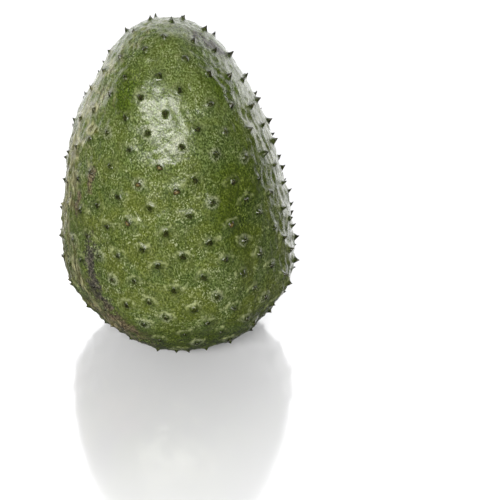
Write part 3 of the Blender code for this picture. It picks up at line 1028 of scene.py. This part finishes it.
def show(name, mesh, material):
    piece = bpy.data.objects.new(name, mesh)
    bpy.context.scene.collection.objects.link(piece)
    mesh.materials.append(material)
    return piece


def make_rind():
    rind = show("soursop_rind", rind_mesh(), waxy_rind())
    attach(rind, "root")
    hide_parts("soursop_fruit")


def stalk_point(share, turn, phases, low, high):
    """A point of the stub: share 0 is its root, and share 1 the middle of its torn end."""
    down = min(share / STALK_BARK_SHARE, 1.0)
    inward = max(share - STALK_BARK_SHARE, 0.0) / (1 - STALK_BARK_SHARE)
    ridges = zip(STALK_RIDGES, phases)
    ridge = sum(depth * math.sin(count * turn + phase) for (count, depth), phase in ridges)
    waist = 1.0 - STALK_WAIST * math.sin(math.pi * down)
    radius = STALK_FILL * min(high.x - low.x, high.y - low.y)
    wide = radius * waist * (1 + ridge) * (1 - inward * STALK_CLOSES)
    splinters, depth = STALK_SPLINTERS
    torn = depth * math.sin(splinters * turn + phases[-1]) * math.sin(math.pi * inward)
    torn += STALK_HOLLOW * inward**STALK_HOLLOW_POWER
    middle = (low + high) / 2
    level = high.z + (low.z - high.z) * down + torn
    return middle.x + wide * math.cos(turn), middle.y + wide * math.sin(turn), level


def stalk_mesh():
    """The stub, with fibre ridges down its side and a torn, hollowed end."""
    low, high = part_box("stalk_stub")
    draw = random.Random(STALK_SEED)
    phases = [draw.uniform(0, 2 * math.pi) for _ in range(len(STALK_RIDGES) + 1)]
    turns = [2 * math.pi * side / STALK_SIDES for side in range(STALK_SIDES)]
    shares = [ring / STALK_RINGS for ring in range(STALK_RINGS + 1)]
    shape = bmesh.new()
    layers = []
    for share in shares:
        layers.append([shape.verts.new(stalk_point(share, turn, phases, low, high)) for turn in turns])
    for upper, lower in zip(layers, layers[1:]):
        for side in range(STALK_SIDES):
            following = (side + 1) % STALK_SIDES
            shape.faces.new((upper[side], lower[side], lower[following], upper[following]))
    shape.faces.new(layers[-1][::-1])
    shape.faces.new(layers[0])
    bmesh.ops.recalc_face_normals(shape, faces=shape.faces)
    mesh = bpy.data.meshes.new("stalk")
    shape.to_mesh(mesh)
    shape.free()
    mesh.shade_smooth()
    mesh.set_sharp_from_angle(angle=STALK_SHARP_EDGE)
    torn = mesh.attributes.new("torn", "FLOAT", "POINT")
    bared = [min(max(share - STALK_BARK_SHARE, 0.0) / STALK_TORN_FADE, 1.0) for share in shares]
    torn.data.foreach_set("value", np.repeat(bared, STALK_SIDES).astype(np.float32))
    return mesh


def make_stalk():
    stalk = show("stalk_stub_bark", stalk_mesh(), dry_stalk())
    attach(stalk, "root")
    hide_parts("stalk_stub")


def make_table():
    """A wide table of glossy white acrylic, which mirrors the fruit softly."""
    mesh = bpy.data.meshes.new("table")
    reach = TABLE_REACH
    corners = ((-reach, -reach, 0), (reach, -reach, 0), (reach, reach, 0), (-reach, reach, 0))
    mesh.from_pydata(corners, [], [(0, 1, 2, 3)])
    table = show("table", mesh, glossy_acrylic())
    # The wax doesn't mirror the table, which would lay a pale veil over the fruit's lower half.
    table.visible_glossy = False


def toward(turn, rise):
    """The direction that lies this far round from the front and this high, in degrees."""
    turn = math.radians(turn)
    rise = math.radians(rise)
    return Vector((math.sin(turn) * math.cos(rise), -math.cos(turn) * math.cos(rise), math.sin(rise)))


def make_world():
    """A studio that is dim in front of the fruit and has a bright white backdrop behind it."""
    world = bpy.data.worlds.new("white_backdrop")
    bpy.context.scene.world = world
    world.use_nodes = True
    tree = world.node_tree
    way = add(tree, "TexCoord", {}, (), "Generated")
    near = add(tree, "VectorMath", {"operation": "DOT_PRODUCT"}, (way, toward(*BACKDROP_TURN_AND_RISE)))
    glow = add(tree, "MapRange", SMOOTH, (near, *BACKDROP_EDGE, ROOM_GLOW, BACKDROP_GLOW))
    background = tree.nodes["Background"]
    background.inputs["Color"].default_value = linear("#ffffff")
    tree.links.new(glow, background.inputs["Strength"])


def make_lights():
    for name, turn, rise, distance, (wide, tall), radiance in LAMPS:
        light = bpy.data.lights.new(name, "AREA")
        light.shape = "RECTANGLE"
        light.size = wide
        light.size_y = tall
        light.energy = radiance * wide * tall * math.pi
        light.color = linear(LAMP_COLOUR)[:3]
        lamp = bpy.data.objects.new(name, light)
        lamp.location = LAMP_AIM + toward(turn, rise) * distance
        lamp.rotation_euler = toward(turn, rise).to_track_quat("Z", "Y").to_euler()
        bpy.context.scene.collection.objects.link(lamp)


def make_camera():
    lens = bpy.data.cameras.new("camera")
    lens.sensor_width = SENSOR
    lens.lens = SENSOR * CAMERA_DISTANCE / VIEW_WIDTH
    lens.clip_start = NEAR_LIMIT
    lens.clip_end = FAR_LIMIT
    camera = bpy.data.objects.new("camera", lens)
    back = Vector((0.0, -math.cos(CAMERA_ELEVATION), math.sin(CAMERA_ELEVATION)))
    right = Vector((1.0, 0.0, 0.0))
    up = Vector((0.0, math.sin(CAMERA_ELEVATION), math.cos(CAMERA_ELEVATION)))
    aim = Vector(BASE_MIDDLE) + VIEW_MIDDLE[0] * right + VIEW_MIDDLE[1] * up
    camera.location = aim + back * CAMERA_DISTANCE
    camera.rotation_euler = (-back).to_track_quat("-Z", "Y").to_euler()
    bpy.context.scene.collection.objects.link(camera)
    bpy.context.scene.camera = camera


make_camera()
make_world()
make_lights()
make_table()
make_rind()
make_stalk()
bpy.context.scene.view_settings.view_transform = "Standard"
